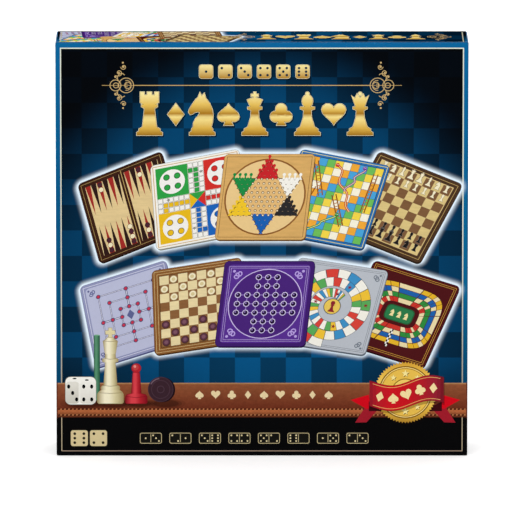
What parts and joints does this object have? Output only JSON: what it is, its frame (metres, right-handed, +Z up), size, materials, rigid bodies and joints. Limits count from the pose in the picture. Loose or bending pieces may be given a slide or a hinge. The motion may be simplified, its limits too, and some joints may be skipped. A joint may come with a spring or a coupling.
{
  "type": "games compendium box",
  "caption": "Square rigid games box with a full-depth lift-off lid, standing on its edge; inside are flat playing boards, a booklet and a moulded tray of game pieces.",
  "frame": {"origin": "middle of the lower edge that the box stands on, at floor level", "axes": "+Z up the cover, +X to the cover's right, +Y from the cover to the back"},
  "size_m": [0.27, 0.05, 0.275],
  "materials": {
    "printed_wrap": "gloss varnished print",
    "greyboard": "matt",
    "black_wrap": "matt uncoated",
    "booklet_paper": "satin",
    "staple_wire": "bright wire",
    "board_print": "satin print on both faces",
    "tray_plastic": "satin moulded",
    "ivory_plastic": "satin moulded",
    "black_plastic": "satin moulded",
    "plum_plastic": "satin moulded",
    "red_plastic": "gloss moulded",
    "blue_plastic": "gloss moulded",
    "green_plastic": "gloss moulded",
    "yellow_plastic": "gloss moulded",
    "orange_plastic": "gloss moulded",
    "white_plastic": "gloss moulded",
    "card_stock": "linen finish card"
  },
  "bodies": {
    "base": {"base_wrap": "black_wrap", "base_board": "greyboard"},
    "lid": {"lid_wrap": "printed_wrap", "lid_board": "greyboard"},
    "booklet": {"rules_booklet": "booklet_paper", "booklet_staples": "staple_wire"},
    "star_board": {"board_star_and_snakes": "board_print"},
    "chess_board": {"board_chess_and_racetrack": "board_print"},
    "merels_board": {"board_merels_and_draughts": "board_print"},
    "ludo_board": {"board_ludo_and_solitaire": "board_print"},
    "goose_board": {"board_goose_and_backgammon": "board_print"},
    "tray": {"piece_tray": "tray_plastic"},
    "white_chessmen": {"white_king": "ivory_plastic", "white_queen": "ivory_plastic", "white_bishops": "ivory_plastic", "white_knights": "ivory_plastic", "white_rooks": "ivory_plastic", "white_pawns": "ivory_plastic"},
    "black_chessmen": {"black_king": "black_plastic", "black_queen": "black_plastic", "black_bishops": "black_plastic", "black_knights": "black_plastic", "black_rooks": "black_plastic", "black_pawns": "black_plastic"},
    "light_draughts": {"light_discs": "ivory_plastic"},
    "dark_draughts": {"dark_discs": "plum_plastic"},
    "race_pawns": {"red_pawns": "red_plastic", "blue_pawns": "blue_plastic", "green_pawns": "green_plastic", "yellow_pawns": "yellow_plastic"},
    "star_pegs": {"red_pegs": "red_plastic", "blue_pegs": "blue_plastic", "green_pegs": "green_plastic", "yellow_pegs": "yellow_plastic", "black_pegs": "black_plastic", "white_pegs": "white_plastic"},
    "stick_bundle": {"red_sticks": "red_plastic", "blue_sticks": "blue_plastic", "green_sticks": "green_plastic", "yellow_sticks": "yellow_plastic", "orange_sticks": "orange_plastic", "black_stick": "black_plastic"},
    "dice_set": {"dice": "white_plastic"},
    "domino_set": {"dominoes": "ivory_plastic"},
    "cards": {"card_pack": "card_stock"}
  },
  "joints": [
    {"name": "lid_lift", "type": "slide", "parent": "base", "child": "lid", "axis": [0, -1, 0], "range_m": [0, 0.3]},
    {"name": "booklet_lift", "type": "slide", "parent": "base", "child": "booklet", "axis": [0, -1, 0], "range_m": [0, 0.24]},
    {"name": "star_board_lift", "type": "slide", "parent": "base", "child": "star_board", "axis": [0, -1, 0], "range_m": [0, 0.225]},
    {"name": "chess_board_lift", "type": "slide", "parent": "base", "child": "chess_board", "axis": [0, -1, 0], "range_m": [0, 0.2025]},
    {"name": "merels_board_lift", "type": "slide", "parent": "base", "child": "merels_board", "axis": [0, -1, 0], "range_m": [0, 0.18]},
    {"name": "ludo_board_lift", "type": "slide", "parent": "base", "child": "ludo_board", "axis": [0, -1, 0], "range_m": [0, 0.1575]},
    {"name": "goose_board_lift", "type": "slide", "parent": "base", "child": "goose_board", "axis": [0, -1, 0], "range_m": [0, 0.135]},
    {"name": "tray_lift", "type": "slide", "parent": "base", "child": "tray", "axis": [0, -1, 0], "range_m": [0, 0.051]},
    {"name": "white_chessmen_lift", "type": "slide", "parent": "base", "child": "white_chessmen", "axis": [0, -1, 0], "range_m": [0, 0.096]},
    {"name": "black_chessmen_lift", "type": "slide", "parent": "base", "child": "black_chessmen", "axis": [0, -1, 0], "range_m": [0, 0.096]},
    {"name": "light_draughts_lift", "type": "slide", "parent": "base", "child": "light_draughts", "axis": [0, -1, 0], "range_m": [0, 0.096]},
    {"name": "dark_draughts_lift", "type": "slide", "parent": "base", "child": "dark_draughts", "axis": [0, -1, 0], "range_m": [0, 0.096]},
    {"name": "race_pawns_lift", "type": "slide", "parent": "base", "child": "race_pawns", "axis": [0, -1, 0], "range_m": [0, 0.096]},
    {"name": "star_pegs_lift", "type": "slide", "parent": "base", "child": "star_pegs", "axis": [0, -1, 0], "range_m": [0, 0.096]},
    {"name": "stick_bundle_lift", "type": "slide", "parent": "base", "child": "stick_bundle", "axis": [0, -1, 0], "range_m": [0, 0.096]},
    {"name": "dice_set_lift", "type": "slide", "parent": "base", "child": "dice_set", "axis": [0, -1, 0], "range_m": [0, 0.096]},
    {"name": "domino_set_lift", "type": "slide", "parent": "base", "child": "domino_set", "axis": [0, -1, 0], "range_m": [0, 0.096]},
    {"name": "cards_lift", "type": "slide", "parent": "base", "child": "cards", "axis": [0, -1, 0], "range_m": [0, 0.096]}
  ],
  "couplings": [
    {"joint": "booklet_lift", "follows": "lid_lift", "ratio": 0.8},
    {"joint": "star_board_lift", "follows": "lid_lift", "ratio": 0.75},
    {"joint": "chess_board_lift", "follows": "lid_lift", "ratio": 0.675},
    {"joint": "merels_board_lift", "follows": "lid_lift", "ratio": 0.6},
    {"joint": "ludo_board_lift", "follows": "lid_lift", "ratio": 0.525},
    {"joint": "goose_board_lift", "follows": "lid_lift", "ratio": 0.45},
    {"joint": "tray_lift", "follows": "lid_lift", "ratio": 0.17},
    {"joint": "white_chessmen_lift", "follows": "lid_lift", "ratio": 0.32},
    {"joint": "black_chessmen_lift", "follows": "lid_lift", "ratio": 0.32},
    {"joint": "light_draughts_lift", "follows": "lid_lift", "ratio": 0.32},
    {"joint": "dark_draughts_lift", "follows": "lid_lift", "ratio": 0.32},
    {"joint": "race_pawns_lift", "follows": "lid_lift", "ratio": 0.32},
    {"joint": "star_pegs_lift", "follows": "lid_lift", "ratio": 0.32},
    {"joint": "stick_bundle_lift", "follows": "lid_lift", "ratio": 0.32},
    {"joint": "dice_set_lift", "follows": "lid_lift", "ratio": 0.32},
    {"joint": "domino_set_lift", "follows": "lid_lift", "ratio": 0.32},
    {"joint": "cards_lift", "follows": "lid_lift", "ratio": 0.32}
  ]
}
